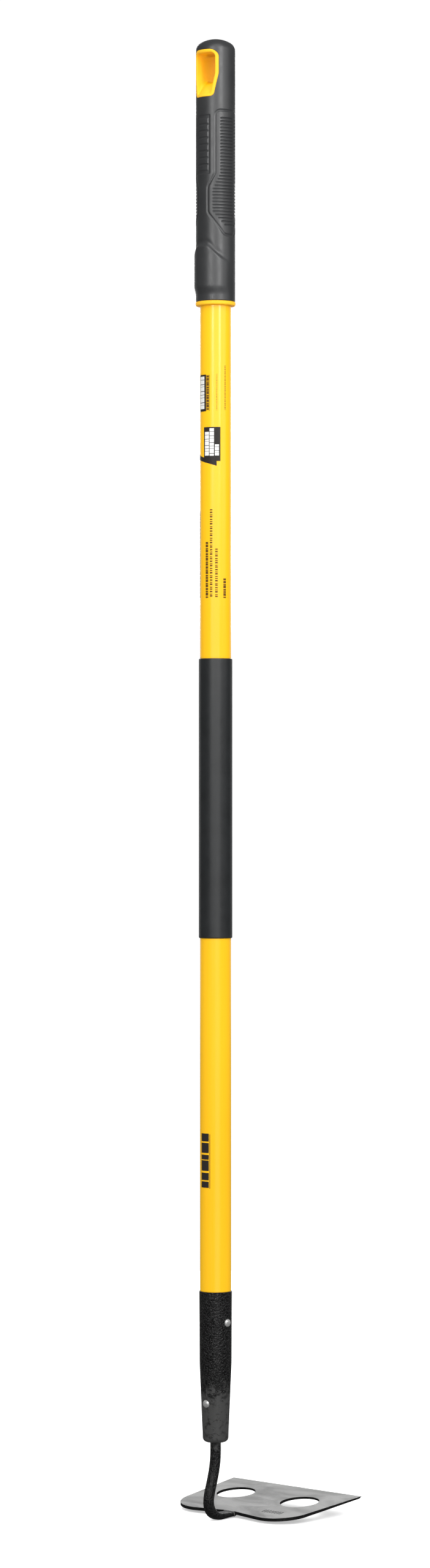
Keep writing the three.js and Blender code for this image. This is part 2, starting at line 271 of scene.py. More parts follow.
def mesh_of(name, points, faces):
    """A clean, smooth-shaded mesh in metres from points in millimetres, facing outwards."""
    mesh = bpy.data.meshes.new(name)
    mesh.from_pydata((np.asarray(points) * MM).tolist(), [], faces)
    work = bmesh.new()
    work.from_mesh(mesh)
    bmesh.ops.remove_doubles(work, verts=work.verts, dist=MERGE * MM)
    bmesh.ops.recalc_face_normals(work, faces=work.faces)
    work.to_mesh(mesh)
    work.free()
    mesh.shade_smooth()
    return mesh


def thicken(mesh, outward, thickness):
    """Turns an open patch's faces outwards and gives it a thickness in millimetres, inwards."""
    work = bmesh.new()
    work.from_mesh(mesh)
    for face in work.faces:
        if face.normal.dot(outward(face.calc_center_median())) < 0:
            face.normal_flip()
    bmesh.ops.solidify(work, geom=work.faces[:], thickness=thickness * MM)
    bmesh.ops.recalc_face_normals(work, faces=work.faces)
    work.to_mesh(mesh)
    work.free()
    mesh.shade_smooth()


def joined(parts):
    """Several (points, faces) shapes as one."""
    points, faces = [], []
    for part_points, part_faces in parts:
        start = len(points)
        points.extend(np.asarray(part_points).tolist())
        faces.extend(tuple(start + i for i in face) for face in part_faces)
    return points, faces


def capped(rings, tips):
    """The points and faces of a tube of rings, closed by a fan to a tip at each end."""
    columns = len(rings[0])
    faces = grid_faces(len(rings), columns)
    last = (len(rings) - 1) * columns
    tip = last + columns
    for j in range(columns):
        k = (j + 1) % columns
        faces.append((tip, k, j))
        faces.append((tip + 1, last + j, last + k))
    return np.vstack([*rings, *tips]), faces


def add_object(name, data):
    """Puts a new object in the scene."""
    item = bpy.data.objects.new(name, data)
    bpy.context.scene.collection.objects.link(item)
    return item


def add_piece(mesh, materials, replaces=()):
    """Puts a mesh in the scene, riding on the tool."""
    piece = add_object(mesh.name, mesh)
    for material in materials:
        mesh.materials.append(material)
    normals = piece.modifiers.new("even_normals", "WEIGHTED_NORMAL")
    normals.keep_sharp = True
    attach(piece, "root")
    if replaces:
        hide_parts(*replaces)
    return piece


def turned(profile, segments=144, closed=True):
    """The points and faces of (radius, height) pairs turned about Z."""
    angles = all_round(segments)
    rings = [
        np.column_stack([radius * np.cos(angles), radius * np.sin(angles), np.full(segments, height)])
        for radius, height in profile
    ]
    return np.vstack(rings), grid_faces(len(rings), segments, closed_rows=closed)


# ---- materials ----------------------------------------------------------------------------


class Look:
    """A Principled material, with short ways to add the patterns that feed it."""

    def __init__(self, name, **values):
        self.material = bpy.data.materials.new(name)
        self.material.use_nodes = True
        self.tree = self.material.node_tree
        self.shader = self.tree.nodes["Principled BSDF"]
        for socket, value in values.items():
            self.shader.inputs[socket.replace("_", " ")].default_value = value
        self.place = self.node("ShaderNodeTexCoord").outputs["Object"]

    def node(self, kind, inputs=None, **settings):
        node = self.tree.nodes.new(kind)
        for key, value in settings.items():
            setattr(node, key, value)
        for key, value in (inputs or {}).items():
            self.feed(value, node.inputs[key])
        return node

    def feed(self, value, socket):
        """Links an output to the socket, or sets the socket to a plain value."""
        if isinstance(value, bpy.types.NodeSocket):
            self.tree.links.new(value, socket)
        else:
            socket.default_value = value

    def stretched(self, x=1.0, y=1.0, z=1.0):
        """The place on the object with its axes scaled, so that a pattern runs along one."""
        mapping = self.node("ShaderNodeMapping", {"Vector": self.place, "Scale": (x, y, z)})
        return mapping.outputs["Vector"]

    def noise(self, size, detail=3.0, roughness=0.5, place=None, distortion=0.0):
        """A cloudy pattern from 0 to 1, whose blobs are size millimetres across."""
        inputs = {
            "Vector": place or self.place,
            "Scale": 1 / (size * MM),
            "Detail": detail,
            "Roughness": roughness,
            "Distortion": distortion,
        }
        return self.node("ShaderNodeTexNoise", inputs).outputs["Fac"]

    def spread(self, value, from_low, from_high, to_low, to_high):
        """The value moved from one range to another, and kept inside it."""
        names = ("Value", "From Min", "From Max", "To Min", "To Max")
        inputs = dict(zip(names, (value, from_low, from_high, to_low, to_high)))
        return self.node("ShaderNodeMapRange", inputs).outputs["Result"]

    def vary(self, noise, low, high):
        """A noise pattern, which mostly lies from 0.3 to 0.7, moved to the range low to high."""
        return self.spread(noise, 0.3, 0.7, low, high)

    def math(self, operation, a, b):
        node = self.node("ShaderNodeMath", operation=operation)
        self.feed(a, node.inputs[0])
        self.feed(b, node.inputs[1])
        return node.outputs["Value"]

    def height(self):
        """The height in the frame, in metres."""
        return self.node("ShaderNodeSeparateXYZ", {"Vector": self.place}).outputs["Z"]

    def colours(self, value, stops):
        """A colour ramp through (position, colour) stops."""
        node = self.node("ShaderNodeValToRGB", {"Fac": value})
        elements = node.color_ramp.elements
        while len(elements) < len(stops):
            elements.new(0.5)
        for element, (position, colour) in zip(elements, stops):
            element.position = position
            element.color = (*colour, 1)
        return node.outputs["Color"]

    def shaded(self, noise, dark, light):
        """A noise pattern as a blend of two colours."""
        return self.colours(noise, [(0.3, dark), (0.7, light)])

    def mixed(self, share, first, second):
        """The first colour where share is 0, the second where it is 1."""
        node = self.node("ShaderNodeMix", data_type="RGBA")
        sockets = {socket.identifier: socket for socket in (*node.inputs, *node.outputs)}
        self.feed(share, sockets["Factor_Float"])
        self.feed(first, sockets["A_Color"])
        self.feed(second, sockets["B_Color"])
        return sockets["Result_Color"]

    def paint(self, colour):
        self.feed(colour, self.shader.inputs["Base Color"])

    def dull(self, roughness):
        self.feed(roughness, self.shader.inputs["Roughness"])

    def emboss(self, height, depth):
        """Bumps the surface by a height pattern whose full range is depth millimetres."""
        previous = self.shader.inputs["Normal"].links
        inputs = {"Height": height, "Distance": depth * MM, "Strength": 1.0}
        if previous:
            inputs["Normal"] = previous[0].from_socket
        bump = self.node("ShaderNodeBump", inputs)
        self.feed(bump.outputs["Normal"], self.shader.inputs["Normal"])


def soft_rubber(name, dark, light, smooth, rough):
    """Moulded soft plastic: a fine grain, a slight bloom, and handling shine in patches."""
    look = Look(name, Specular_IOR_Level=0.95)
    look.paint(look.shaded(look.noise(26, 4), dark, light))
    look.dull(look.vary(look.noise(9, 5, 0.6), smooth, rough))
    look.emboss(look.noise(0.45, 3, 0.6), 0.035)
    return look.material


def moulded_yellow():
    """Moulded plastic with a faint orange-peel skin, and painted shade: deeper orange towards the
    slot's middle.
    """
    look = Look("moulded_yellow", Specular_IOR_Level=0.25)
    # Painted shade: the nearer the slot's middle, the deeper the orange, standing for the slot's shade
    # and the yellow light bounced inside it; the rims stay plain yellow.
    flat = {"Vector": look.stretched(1, 1, 0)}
    off_axis = look.node("ShaderNodeVectorMath", flat, operation="LENGTH")
    clear_of_painted_shade = look.spread(off_axis.outputs["Value"], 0.008, 0.0155, 0.0, 0.85)
    drift = look.vary(look.noise(18, 3), 0.0, 0.15)
    shades = [(0.0, (0.62, 0.325, 0.001)), (0.35, (0.96, 0.56, 0.006)), (0.8, (1.0, 0.53, 0.018))]
    look.paint(look.colours(look.math("ADD", clear_of_painted_shade, drift), shades))
    look.dull(look.vary(look.noise(5, 4), 0.42, 0.52))
    look.emboss(look.noise(2.4, 2), 0.02)
    return look.material


def yellow_glass_fibre():
    """A pultruded shaft: fine fibres and colour drift along its length, under a gloss."""
    look = Look("yellow_glass_fibre", Specular_IOR_Level=0.7)
    fibres = look.noise(0.7, 4, 0.65, place=look.stretched(1, 1, 0.012))
    drift = look.noise(60, 2, place=look.stretched(1, 1, 0.25))
    mixed = look.math("ADD", look.math("MULTIPLY", fibres, 0.4), look.math("MULTIPLY", drift, 0.6))
    look.paint(look.shaded(mixed, (0.99, 0.515, 0.003), (1.0, 0.56, 0.006)))
    look.dull(look.vary(fibres, 0.2, 0.27))
    look.emboss(fibres, 0.012)
    return look.material


def wrinkled_black():
    """Black paint: wrinkled where heavy, with painted shade in its creases; plain dark grey where thin,
    low on the socket.
    """
    look = Look("wrinkled_black", Specular_IOR_Level=0.65)
    grain = look.noise(1.5, 2, 0.4, place=look.stretched(1, 1, 0.85), distortion=0.5)
    plateau = look.spread(grain, 0.4, 0.6, 0.0, 1.0)
    height = look.height()
    on_socket = look.spread(height, -1.39, -1.335, 0.08, 1.0)
    on_neck = look.spread(height, -1.43, -1.45, 0.08, 0.85)
    build_up = look.math("MAXIMUM", on_socket, on_neck)
    patchy = look.math("ADD", build_up, look.vary(look.noise(5, 5, 0.6), -0.3, 0.3))
    heavy = look.spread(patchy, 0.1, 0.4, 0.08, 1.0)
    # Painted shade: the wrinkles' creases are coloured darker and their tops lighter, by the same
    # pattern that bumps them.
    wrinkle_colour_with_painted_shade = look.colours(plateau, [(0.0, (0.001, 0.001, 0.001)), (1.0, (0.01, 0.01, 0.01))])
    look.paint(look.mixed(heavy, (0.055, 0.055, 0.054, 1), wrinkle_colour_with_painted_shade))
    look.dull(look.spread(patchy, 0.1, 0.6, 0.45, 0.24))
    look.emboss(look.math("MULTIPLY", plateau, heavy), 0.4)
    look.emboss(look.noise(0.5, 3), 0.03)
    return look.material


def rivet_steel():
    """Bright set steel with a fine grain and a little tarnish."""
    look = Look("rivet_steel", Metallic=0.75, Specular_IOR_Level=0.5)
    look.paint(look.shaded(look.noise(3, 4), (0.7, 0.695, 0.68), (0.95, 0.95, 0.94)))
    look.dull(look.vary(look.noise(0.6, 5, 0.7), 0.22, 0.38))
    look.emboss(look.noise(0.3, 3), 0.01)
    return look.material


def ground_steel():
    """A ground and oiled face: streaks of the belt along the blade, smudges and pinpricks."""
    look = Look("ground_steel", Metallic=1.0, Specular_IOR_Level=0.5)
    streaks = look.noise(0.9, 4, 0.6, place=look.stretched(0.06, 1, 1))
    smudges = look.noise(30, 5, 0.62, place=look.stretched(1, 0.5, 1), distortion=1.2)
    pricks = look.noise(1.2, 2, 0.5)
    fine = look.math("MULTIPLY", streaks, 0.12)
    mixed = look.math("ADD", fine, look.math("MULTIPLY", smudges, 0.88))
    spots = look.spread(pricks, 0.7, 0.78, 0.0, 0.25)
    tone = look.math("SUBTRACT", mixed, spots)
    look.paint(look.colours(tone, [(0.34, (0.27, 0.27, 0.268)), (0.6, (0.48, 0.48, 0.476))]))
    look.dull(look.vary(smudges, 0.36, 0.5))
    look.emboss(streaks, 0.004)
    return look.material


def weld_metal():
    """Dull weld metal with a burnt, blotchy skin."""
    look = Look("weld_metal", Metallic=0.8, Specular_IOR_Level=0.5)
    burnt = [(0.35, (0.1, 0.098, 0.095)), (0.65, (0.34, 0.335, 0.325))]
    look.paint(look.colours(look.noise(1.6, 4, 0.6), burnt))
    look.dull(look.vary(look.noise(0.8, 4), 0.4, 0.6))
    look.emboss(look.noise(0.7, 3), 0.06)
    return look.material


def mill_scale():
    """The dark skin of hot-rolled steel on the blade's edges, hole walls and underside."""
    look = Look("mill_scale", Specular_IOR_Level=0.3)
    grit = look.noise(1.3, 4, 0.7)
    shades = [(0.4, (0.002, 0.002, 0.0022)), (0.6, (0.008, 0.008, 0.0077)), (0.75, (0.06, 0.06, 0.058))]
    look.paint(look.colours(grit, shades))
    look.dull(look.vary(look.noise(2, 4), 0.42, 0.62))
    look.emboss(grit, 0.25)
    return look.material


def ink(name, colour, worn):
    """Printed ink, worn thin in places."""
    look = Look(name, Specular_IOR_Level=0.25)
    look.paint(look.colours(look.noise(1.6, 4, 0.6), [(0.26, worn), (0.4, colour)]))
    look.dull(look.vary(look.noise(3, 3), 0.35, 0.5))
    return look.material


def turned_wood():
    """Plain hardwood with its grain along the handle."""
    look = Look("turned_wood", Specular_IOR_Level=0.3)
    grain = look.noise(2.2, 5, 0.6, place=look.stretched(1, 1, 0.08), distortion=0.6)
    look.paint(look.shaded(grain, (0.3, 0.15, 0.05), (0.52, 0.31, 0.13)))
    look.dull(look.vary(grain, 0.55, 0.7))
    look.emboss(grain, 0.08)
    return look.material


# ---- grip ---------------------------------------------------------------------------------


def window_outline(half, top, shoulder, foot, bottom, corner, inset=0.0):
    """The hang slot's outline as (y, height) points, from the middle of its top and round."""
    side, floor = half - inset, bottom + inset
    corners = [
        (0, top - inset, 0),
        (side, top - inset, max(corner - inset, 1)),
        (side, shoulder, SHOULDER_ROUND),
        (foot - inset, floor, max(FOOT_ROUND - inset, 1)),
        (-foot + inset, floor, max(FOOT_ROUND - inset, 1)),
        (-side, shoulder, SHOULDER_ROUND),
        (-side, top - inset, max(corner - inset, 1)),
    ]
    return rounded(corners, closed=True, steps=9)


def grip_relief(back_angle, height):
    """How far the grip's skin stands out from its cylinder, from its angle off the back."""
    across = GRIP_RADIUS * np.abs(back_angle - np.pi / 2)
    border, _ = nearest(np.column_stack([across, height]), rounded(PANEL_BORDER))
    relief = channel(border, **BORDER_GROOVE)

    rib = np.clip(np.round((RIB_TOP - height) / RIB_PITCH), 0, RIB_COUNT - 1)
    rib_height = RIB_TOP - rib * RIB_PITCH
    rib_end = np.interp(rib_height, RIB_END_HEIGHTS, RIB_ENDS) - RIB_GROOVE["width"] / 2
    past_end = np.maximum(across - rib_end, 0)
    relief += groove(np.hypot(height - rib_height, past_end), **RIB_GROOVE)

    around = GRIP_RADIUS * back_angle
    edge = RECESS["edge"]
    inside = smooth_step(RECESS["half"], RECESS["half"] - edge, around)
    inside *= smooth_step(RECESS["top"], RECESS["top"] - edge, height)
    inside *= smooth_step(RECESS["bottom"], RECESS["bottom"] + edge, height)
    block = np.clip(np.round((BLOCK["first"] - height) / BLOCK["pitch"]), 0, BLOCK["count"] - 1)
    off_block = np.abs(height - (BLOCK["first"] - block * BLOCK["pitch"]))
    foot, brow = BLOCK_WALL["foot"], BLOCK_WALL["brow"]
    raised = smooth_step(BLOCK["length"] / 2 + foot, BLOCK["length"] / 2 - brow, off_block)
    raised *= smooth_step(BLOCK["half"] + foot, BLOCK["half"] - brow, around)
    relief += inside * (raised * BLOCK["height"] - RECESS["depth"])

    y = GRIP_RADIUS * np.sin(back_angle)
    beyond = y - SWELL["flat"]
    edge_height = SWELL["top"] - SWELL["slope"] * (beyond + np.hypot(beyond, SWELL["bend"])) / 2
    ramp = smooth_step(edge_height, edge_height - SWELL["ramp"], height)
    fade = smooth_step(SWELL_FADE["end"], SWELL_FADE["start"], height)
    off_valley = height - edge_height - SWELL_VALLEY["above"]
    valley = np.exp(-((off_valley / SWELL_VALLEY["reach"]) ** 2))
    backwards = np.clip(np.cos(back_angle), 0, 1)
    relief += backwards * (SWELL["shift"] * ramp * fade - SWELL_VALLEY["depth"] * valley)
    return relief


def grip_meridian():
    """The grip's outline, as (radius, height) from its bottom lip over the dome to the axis.

    Its points are close together where the relief is fine: eight to each rib.
    """
    wall_base = GRIP_BOTTOM + 1
    dome_base = GRIP_TOP - CROWN - CROWN_CORNER
    lip = rounded(
        [
            (GRIP_RADIUS - SKIN, GRIP_BOTTOM, 0),
            (GRIP_RADIUS, GRIP_BOTTOM, 0.6),
            (GRIP_RADIUS, wall_base, 0),
        ],
        steps=4,
    )
    wall = spaced([
        (wall_base, 1.0),
        (-192.0, 0.65),
        (-180.0, RIB_PITCH / 8),
        (-66.0, 0.65),
        (-58.0, 0.95),
        (dome_base, 1.0),
    ])
    flat = GRIP_RADIUS - CROWN_CORNER
    reach = (flat**2 + CROWN**2) / (2 * CROWN)
    meet = math.acos(flat / reach)
    corner_angles = np.linspace(0, meet, 12)
    crown_angles = np.linspace(meet, np.pi / 2, 12)[1:]
    corner = arc((flat, dome_base), CROWN_CORNER, corner_angles)
    crown_radius = reach + CROWN_CORNER
    crown = arc((0, GRIP_TOP - crown_radius), crown_radius, crown_angles)
    crown[-1, 0] = 0
    straight = np.column_stack([np.full(len(wall) - 1, GRIP_RADIUS), wall[1:]])
    return np.vstack([lip, straight, corner, crown])


def cut_window(mesh):
    """Opens the hang slot through both sides of the skin, with a rounded and turned-in edge."""
    outline = window_outline(**LINER, inset=-SKIN_LAP)
    right = outline[outline[:, 0] >= -1e-6]
    order = np.argsort(right[:, 1])
    heights, halves = right[order, 1], right[order, 0]
    work = bmesh.new()
    work.from_mesh(mesh)
    inside = []
    for face in work.faces:
        centre = face.calc_center_median() / MM
        within = heights[0] < centre.z < heights[-1]
        if within and abs(centre.y) < np.interp(centre.z, heights, halves):
            inside.append(face)
    bmesh.ops.delete(work, geom=inside, context="FACES")

    closed = np.vstack([outline, outline[:1]])
    middle = Vector((0, (LINER["top"] + LINER["bottom"]) / 2))
    # The slot's rim is the only open edge above this height.
    lowest = (LINER["bottom"] - 5) * MM
    rim = [edge for edge in work.edges if edge.is_boundary and edge.verts[0].co.z > lowest]
    for edge in rim:
        edge.smooth = False
    for turn_in, drop in SKIN_EDGE:
        if drop:
            made = bmesh.ops.extrude_edge_only(work, edges=rim)["geom"]
            rim = [item for item in made if isinstance(item, bmesh.types.BMEdge)]
        verts = list({vert for edge in rim for vert in edge.verts})
        flat = np.array([(vert.co.y, vert.co.z) for vert in verts]) / MM
        _, found = nearest(flat, closed)
        for vert, (y, z) in zip(verts, found):
            inward = (middle - Vector((y, z))).normalized() * turn_in
            side = math.copysign(1, vert.co.x)
            x = side * math.sqrt((GRIP_RADIUS - drop) ** 2 - (y + inward.x) ** 2)
            vert.co = Vector((x, y + inward.x, z + inward.y)) * MM
    bmesh.ops.recalc_face_normals(work, faces=work.faces)
    work.to_mesh(mesh)
    work.free()
    mesh.shade_smooth()


def grip_skin(material, columns=200):
    """The soft skin: grooved side panels, a badge and a thumb swell behind, and the slot."""
    meridian = grip_meridian()
    angles = all_round(columns)
    radius, height = (np.repeat(column, columns) for column in meridian.T)
    azimuth = np.tile(angles, len(meridian))
    back_angle = np.abs(np.pi - azimuth)
    on_wall = radius > GRIP_RADIUS - 0.01
    radius = radius + np.where(on_wall, grip_relief(back_angle, height), 0)
    points = np.column_stack([radius * np.cos(azimuth), radius * np.sin(azimuth), height])
    mesh = mesh_of("grip_skin", points, grid_faces(len(meridian), columns))
    cut_window(mesh)
    return add_piece(mesh, [material], ["grip_overmould"])


def slot_liner(material, count=132):
    """The yellow liner: a rim on each side of the grip, and a funnel in to the slot between."""
    rings = []
    for inset, drop in LINER_RIM:
        outline = resampled(window_outline(**LINER, inset=inset), count, closed=True)
        x = np.sqrt((GRIP_RADIUS - drop) ** 2 - outline[:, 0] ** 2)
        rings.append(np.column_stack([x, outline]))
    mouth = rings[-1]
    slot = resampled(window_outline(**SLOT), count, closed=True)
    way = np.column_stack([np.zeros(count), slot]) - mouth
    for share in np.linspace(0, 1, FUNNEL["steps"] + 1)[1:]:
        closed_in = 1 - (1 - share) ** FUNNEL["curve"]
        rings.append(mouth + way * (share, closed_in, closed_in))
    rings += [ring * (-1, 1, 1) for ring in rings[-2::-1]]
    mesh = mesh_of("slot_liner", np.vstack(rings), grid_faces(len(rings), count))
    return add_piece(mesh, [material], ["grip_core"])


def end_flange(material):
    """The yellow ring that closes the grip's lower end round the shaft."""
    top, bottom = GRIP_BOTTOM - 2 * GAP, core_low[2]
    radius, bore = core_high[0], SHAFT_RADIUS + GAP
    profile = rounded(
        [(bore, bottom, 0.3), (radius, bottom, 1.5), (radius, top, 0.7), (bore, top, 0.2)],
        closed=True,
    )
    mesh = mesh_of("end_flange", *turned(profile))
    return add_piece(mesh, [material])


# ---- shaft --------------------------------------------------------------------------------

# Ink lies in two coats on the shaft: their heights above it, how much lower a patch lies where
# it laps another, the film's thickness, and the degrees from one point of a patch to the next.
INK = {"under": 0.06, "over": 0.1, "lap": 0.02, "film": 0.08, "step": 1.5}


def shaft(material):
    """The hollow shaft, turned down where it enters the ferrule."""
    top, bottom = shaft_high[2], shaft_low[2]
    shoulder = FERRULE_TOP + 2 * GAP
    turned_radius = SHAFT_RADIUS - SHAFT_STEP
    profile = rounded(
        [
            (SHAFT_BORE, bottom, 0.3),
            (turned_radius, bottom, 0.5),
            (turned_radius, shoulder, 0.1),
            (SHAFT_RADIUS, shoulder, 0.2),
            (SHAFT_RADIUS, top, 0.5),
            (SHAFT_BORE, top, 0.3),
        ],
        closed=True,
    )
    mesh = mesh_of("shaft", *turned(profile, 192))
    return add_piece(mesh, [material], ["shaft_tube"])


def lower_grip_sleeve(material):
    """The dark sleeve for the lower hand, with eased ends."""
    top, bottom = sleeve_high[2], sleeve_low[2]
    radius, bore = sleeve_high[0], SHAFT_RADIUS + GAP / 2
    profile = rounded(
        [(bore, bottom, 0.1), (radius, bottom, 1.1), (radius, top, 1.1), (bore, top, 0.1)],
        closed=True,
    )
    mesh = mesh_of("lower_grip_sleeve", *turned(profile, 192))
    return add_piece(mesh, [material], ["mid_sleeve"])


def ink_patch(azimuths, heights, radius, slant=0.0):
    """A printed patch wrapped on the shaft, between two angles off the back and two heights."""
    start, end = azimuths
    columns = 2 + round(abs(end - start) / INK["step"])
    points = []
    for height in heights:
        for share in np.linspace(0, 1, columns):
            angle = math.radians(180 + start + (end - start) * share)
            z = height + slant * share
            points.append((radius * math.cos(angle), radius * math.sin(angle), z))
    return points, grid_faces(len(heights), columns, closed_columns=False)


def row_of_marks(azimuths, top, bottom, count, fill, radius):
    """A row of marks of uneven lengths down the shaft, which fill the given share of it."""
    shares = np.array([1 + 0.4 * math.sin(2.4 * i) for i in range(count)])
    ends = top - (top - bottom) * np.cumsum(shares) / shares.sum()
    starts = np.r_[top, ends[:-1]]
    return [
        ink_patch(azimuths, (start + (end - start) * fill, start), radius)
        for start, end in zip(starts, ends)
    ]


def shaft_prints(black, brown, white):
    """Plain bars, boxes and rows of marks, by their degrees off the shaft's back and heights."""
    under, over = SHAFT_RADIUS + INK["under"], SHAFT_RADIUS + INK["over"]
    blocks = [
        ink_patch((-36, 3.8), (-368.9, -331.1), under),
        ink_patch((-6, 60), (-420.3, -385.3), under),
        ink_patch((-52, 46), (-417.3, -412.7), under - INK["lap"], slant=-7.9),
        *row_of_marks((-22, 16), -1112.5, -1169.5, 6, 0.84, under),
        ink_patch((19.5, 21.5), (-1169.0, -1113.0), under),
    ]
    rows = [
        ink_patch((4.8, 6.4), (-368.6, -331.4), under),
        ink_patch((16.8, 18.4), (-368.6, -331.4), under),
        *row_of_marks((7.0, 16.2), -332.0, -368.0, 13, 0.8, under),
        *row_of_marks((43.5, 48.5), -331.0, -368.5, 34, 0.2, under),
        *row_of_marks((77, 82), -322.0, -368.0, 34, 0.42, under),
        *row_of_marks((-42, -33), -472.0, -561.5, 38, 0.6, under),
        *row_of_marks((2.5, 13.5), -503.5, -561.5, 21, 0.74, under),
        *row_of_marks((20.5, 30), -470.0, -561.5, 38, 0.45, under),
        *row_of_marks((40.5, 50), -510.5, -561.5, 22, 0.45, under),
        *row_of_marks((72, 83.5), -541.0, -561.5, 8, 0.74, under),
    ]
    marks = [
        *row_of_marks((-31, -4), -333.0, -367.0, 9, 0.86, over),
        *row_of_marks((-1, 16.6), -390.2, -415.2, 7, 0.88, over),
        *row_of_marks((19, 36), -386.6, -415.2, 8, 0.88, over),
        *row_of_marks((39.5, 54.5), -403.2, -415.2, 4, 0.86, over),
    ]
    sets = (("print_blocks", blocks, black), ("print_rows", rows, brown), ("print_marks", marks, white))
    for name, patches, material in sets:
        mesh = mesh_of(name, *joined(patches))
        thicken(mesh, lambda centre: Vector((centre.x, centre.y, 0)), INK["film"])
        add_piece(mesh, [material])


# ---- ferrule and rivets -------------------------------------------------------------------

FERRULE_MOUTH = ferrule_high[0]
CONE = {"top": -1350.0, "radius": 16.5, "bottom": -1426.5, "tip": 13.1}
ROD_RADIUS = 5.55
ROD_GAP = 0.25
RIVET = {"head": 4.1, "crown": 2.2, "sink": 0.5, "shank": 2.5, "buried": 2.0}
UPPER_RIVET = {"height": -1307.6, "turn": 90}
LOWER_RIVET = {"height": -1391.0, "turn": 0}


def ferrule_radius(height):
    heights = [CONE["bottom"], CONE["top"], FERRULE_TOP]
    return float(np.interp(height, heights, [CONE["tip"], CONE["radius"], FERRULE_MOUTH]))


def ferrule_shell(material):
    """The steel socket, from its rolled mouth down to its rounded tip round the neck."""
    hole = ROD_RADIUS + ROD_GAP
    tip = ferrule_radius(FERRULE_BOTTOM)
    profile = rounded(
        [
            (hole, FERRULE_BOTTOM, 0.4),
            (tip, FERRULE_BOTTOM, 4.6),
            (CONE["radius"], CONE["top"], 60),
            (FERRULE_MOUTH, FERRULE_TOP, 0.5),
            (SHAFT_RADIUS - GAP, FERRULE_TOP, 0.3),
            (SHAFT_RADIUS - GAP, CONE["top"], 1),
            (tip - 1.5, FERRULE_BOTTOM + 6, 2),
            (hole, FERRULE_BOTTOM + 2.5, 0.4),
        ],
        closed=True,
    )
    mesh = mesh_of("ferrule_shell", *turned(profile, 160))
    return add_piece(mesh, [material], ["ferrule"])


def rivet(name, node, material, height, turn):
    """A rivet through the ferrule: two domed heads on a shank, turned about the handle."""
    seat = ferrule_radius(height)
    crown, head, sink = RIVET["crown"], RIVET["head"], RIVET["sink"]
    angles = np.linspace(0.12, np.pi / 2, 12)
    dome = np.column_stack([head * np.cos(angles), seat - sink + (crown + sink) * np.sin(angles)])
    under = [
        (RIVET["shank"], seat - RIVET["buried"]),
        (head - 0.2, seat - 1.6),
        (head, seat - sink - 0.1),
    ]
    half = np.vstack([under, dome])
    half[-1, 0] = 0
    profile = np.vstack([(half * (1, -1))[::-1], half])
    points, faces = turned(profile, 48, closed=False)
    lay = Euler((0, math.radians(90), math.radians(turn))).to_matrix()
    points = np.asarray(points) @ np.array(lay).T + (0, 0, height)
    return add_piece(mesh_of(name, points, faces), [material], [node])


# ---- head ---------------------------------------------------------------------------------

TANG_TOP = neck_high[2]
SWAN = {"start": -1441.0, "back": -10.7, "leave": 24.0, "arrive": 12.0}
BEND = {"radius": 16.15, "height": -1492.6}
TONGUE = {"half": neck_high[1], "thickness": 5.6, "corner": 4.0, "length": 44.0}

# The blade, in its own frame: forward from the handle's axis, to the side, and up from its face.
BLADE = {"height": -1507.9, "pitch": 6.2, "notch": 21.8, "edge": 128.7, "edge_half": blade_high[1]}
LOBE = {"forward": 50.0, "side": 48.4, "radius": 34.4}
HOLE = {"forward": 81.8, "side": 44.2, "radius": 20.4}
PLATE = {"root": 3.4, "root_end": 40.0, "tip": 2.0, "bevel": 3.0, "lip": 0.5, "ease": 0.35}

# Half the thickness that the plate is first made with, and how far up its ground faces look.
WORK_HALF = 1.0
FACE_UP = 0.95

STAMP = {
    "forward": 38.0,
    "side": -33.0,
    "count": 8,
    "pitch": 3.3,
    "width": 1.5,
    "length": 8.0,
    "height": 0.05,
    "round": 0.4,
}

# The weld: the seam's place and the bead in it, then the toe under the plate.
SEAM = {"width": 0.9, "gap": 0.3}
BEAD = {"overlap": 0.35, "crown": 0.25, "root": 0.4, "reach": 7.5, "ripple": 0.05, "ripples": 12}
TOE = {"length": 4.4, "rise": 0.4, "round": 0.25, "gap": 0.05, "end": 0.8}


def on_blade(points):
    """Points of the blade's own frame (forward, side, up) in the tool's frame."""
    pitch = math.radians(BLADE["pitch"])
    forward, side, up = np.asarray(points, float).T
    x = forward * math.cos(pitch) - up * math.sin(pitch)
    z = forward * math.sin(pitch) + up * math.cos(pitch)
    return np.column_stack([x, side, z + BLADE["height"]])


def neck_line():
    """The neck's centreline as (x, z) points: tang, lean back, bend and tongue."""
    start = np.array((0, SWAN["start"]))
    finish = np.array((SWAN["back"], BEND["height"]))
    controls = [start, start - (0, SWAN["leave"]), finish + (0, SWAN["arrive"]), finish]
    t = np.linspace(0, 1, 40)[:, None]
    weights = [(1 - t) ** 3, 3 * t * (1 - t) ** 2, 3 * t**2 * (1 - t), t**3]
    lean = sum(weight * control for weight, control in zip(weights, controls))

    end_forward = BLADE["notch"] - SEAM["width"] - SEAM["gap"]
    end = on_blade([(end_forward, 0, -TONGUE["thickness"] / 2)])[0][[0, 2]]
    centre = finish + (BEND["radius"], 0)
    touch = tangent_angle(end, centre, BEND["radius"], -1)
    bend = arc(centre, BEND["radius"], np.linspace(-np.pi, touch, 40))
    return np.vstack([[(0, TANG_TOP)], lean, bend[1:], [end]])


